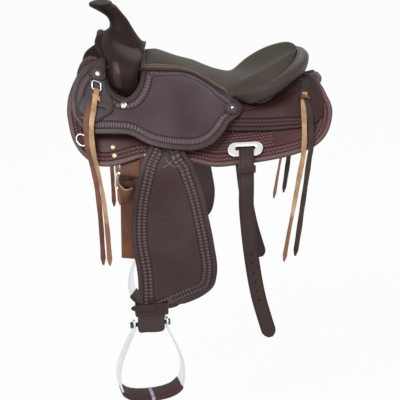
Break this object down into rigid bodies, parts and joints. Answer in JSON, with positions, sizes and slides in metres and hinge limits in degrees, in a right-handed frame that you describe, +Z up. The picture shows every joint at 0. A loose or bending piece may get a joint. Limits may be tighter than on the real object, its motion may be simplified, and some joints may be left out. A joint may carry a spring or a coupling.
{
  "type": "western saddle",
  "caption": "Western riding saddle with a horn, padded seat, skirts, fenders with metal stirrups, rigging dees and plates, rear billets and tie strings.",
  "frame": {"origin": "on the saddle's middle plane, where the middle of the saddle rests on the ridge of the horse's back", "axes": "-X toward the horse's head, -Y toward the near (left) side, +Z up"},
  "size_m": [0.604, 0.6342, 0.886],
  "materials": {
    "skirt_leather": "dark brown tooled and oiled",
    "jockey_leather": "dark brown tooled",
    "fork_leather": "very dark brown, polished",
    "seat_leather": "smooth matte grey-brown",
    "fender_leather": "dark brown tooled edge, smooth middle",
    "strap_leather": "dark brown strap leather",
    "latigo_leather": "chestnut latigo leather",
    "string_leather": "natural tan lace",
    "fleece": "sheared wool",
    "wood": "bare wood of the tree",
    "nickel": "nickel plated",
    "steel": "plain steel",
    "aluminium": "satin"
  },
  "bodies": {
    "saddle": {"tree_fork": "wood", "fork_cover": "fork_leather", "horn": "fork_leather", "gullet_binding": "fork_leather", "seat": "seat_leather", "cantle_roll": "seat_leather", "cantle_back": "skirt_leather", "cantle_board": "wood", "ground_seat": "strap_leather", "near_bar": "wood", "off_bar": "wood", "near_skirt": "skirt_leather", "off_skirt": "skirt_leather", "near_fleece": "fleece", "off_fleece": "fleece", "near_rear_housing": "skirt_leather", "off_rear_housing": "skirt_leather", "near_seat_jockey": "jockey_leather", "off_seat_jockey": "jockey_leather", "near_string_plate": "jockey_leather", "off_string_plate": "jockey_leather", "near_rigging_plate": "nickel", "off_rigging_plate": "nickel", "near_billet_fold": "strap_leather", "off_billet_fold": "strap_leather", "near_billet_keeper": "strap_leather", "off_billet_keeper": "strap_leather", "near_rigging_leather": "latigo_leather", "off_rigging_leather": "latigo_leather", "near_breast_tab": "skirt_leather", "off_breast_tab": "skirt_leather", "near_string_dee": "nickel", "off_string_dee": "nickel", "near_front_strings": "string_leather", "off_front_strings": "string_leather", "near_rear_strings": "string_leather", "off_rear_strings": "string_leather"},
    "near_leather_body": {"near_stirrup_leather": "fender_leather"},
    "near_fender_body": {"near_fender": "fender_leather", "near_lower_leather": "strap_leather", "near_hobble_strap": "strap_leather"},
    "near_stirrup_body": {"near_stirrup": "aluminium", "near_tread_wrap": "strap_leather", "near_stirrup_bolt": "steel"},
    "near_billet_body": {"near_rear_billet": "strap_leather"},
    "near_dee_body": {"near_rigging_dee": "nickel"},
    "near_tie_body": {"near_tie_strap": "latigo_leather"},
    "near_breast_body": {"near_breast_dee": "nickel"},
    "off_leather_body": {"off_stirrup_leather": "fender_leather"},
    "off_fender_body": {"off_fender": "fender_leather", "off_lower_leather": "strap_leather", "off_hobble_strap": "strap_leather"},
    "off_stirrup_body": {"off_stirrup": "aluminium", "off_tread_wrap": "strap_leather", "off_stirrup_bolt": "steel"},
    "off_billet_body": {"off_rear_billet": "strap_leather"},
    "off_dee_body": {"off_rigging_dee": "nickel"},
    "off_tie_body": {"off_tie_strap": "latigo_leather"},
    "off_breast_body": {"off_breast_dee": "nickel"}
  },
  "joints": [
    {"name": "near_leather_swing", "type": "hinge", "parent": "saddle", "child": "near_leather_body", "pos_m": [-0.0972, -0.13083, 0.00639], "axis": [0, -0.5131, 0.8583], "range_deg": [-6, 6]},
    {"name": "near_fender_lift", "type": "hinge", "parent": "near_leather_body", "child": "near_fender_body", "pos_m": [-0.072, -0.23994, -0.0974], "axis": [-1, 0, 0], "range_deg": [0, 65]},
    {"name": "near_stirrup_tilt", "type": "hinge", "parent": "near_fender_body", "child": "near_stirrup_body", "pos_m": [-0.11443, -0.26923, -0.47247], "axis": [0.9703, 0.2419, 0], "range_deg": [-35, 35]},
    {"name": "near_billet_lift", "type": "hinge", "parent": "saddle", "child": "near_billet_body", "pos_m": [0.10398, -0.24384, -0.12861], "axis": [-1, 0, 0], "range_deg": [0, 75]},
    {"name": "near_rigging_dee_swing", "type": "hinge", "parent": "saddle", "child": "near_dee_body", "pos_m": [-0.158, -0.21766, -0.13012], "axis": [0.9693, -0.2205, -0.1085], "range_deg": [0, 20]},
    {"name": "near_tie_strap_swing", "type": "hinge", "parent": "near_dee_body", "child": "near_tie_body", "pos_m": [-0.16165, -0.2161, -0.1659], "axis": [0.9693, -0.2205, -0.1085], "range_deg": [0, 45]},
    {"name": "near_breast_dee_turn", "type": "hinge", "parent": "saddle", "child": "near_breast_body", "pos_m": [-0.25637, -0.18376, -0.06232], "axis": [0, 0.4749, 0.8801], "range_deg": [0, 75]},
    {"name": "off_leather_swing", "type": "hinge", "parent": "saddle", "child": "off_leather_body", "pos_m": [-0.0972, 0.13083, 0.00639], "axis": [0, -0.5131, -0.8583], "range_deg": [-6, 6]},
    {"name": "off_fender_lift", "type": "hinge", "parent": "off_leather_body", "child": "off_fender_body", "pos_m": [-0.072, 0.23994, -0.0974], "axis": [1, 0, 0], "range_deg": [0, 65]},
    {"name": "off_stirrup_tilt", "type": "hinge", "parent": "off_fender_body", "child": "off_stirrup_body", "pos_m": [-0.11443, 0.26923, -0.47247], "axis": [-0.9703, 0.2419, 0], "range_deg": [-35, 35]},
    {"name": "off_billet_lift", "type": "hinge", "parent": "saddle", "child": "off_billet_body", "pos_m": [0.10398, 0.24384, -0.12861], "axis": [1, 0, 0], "range_deg": [0, 75]},
    {"name": "off_rigging_dee_swing", "type": "hinge", "parent": "saddle", "child": "off_dee_body", "pos_m": [-0.158, 0.21766, -0.13012], "axis": [-0.9693, -0.2205, 0.1085], "range_deg": [0, 20]},
    {"name": "off_tie_strap_swing", "type": "hinge", "parent": "off_dee_body", "child": "off_tie_body", "pos_m": [-0.16165, 0.2161, -0.1659], "axis": [-0.9693, -0.2205, 0.1085], "range_deg": [0, 45]},
    {"name": "off_breast_dee_turn", "type": "hinge", "parent": "saddle", "child": "off_breast_body", "pos_m": [-0.25637, 0.18376, -0.06232], "axis": [0, 0.4749, -0.8801], "range_deg": [0, 75]}
  ]
}
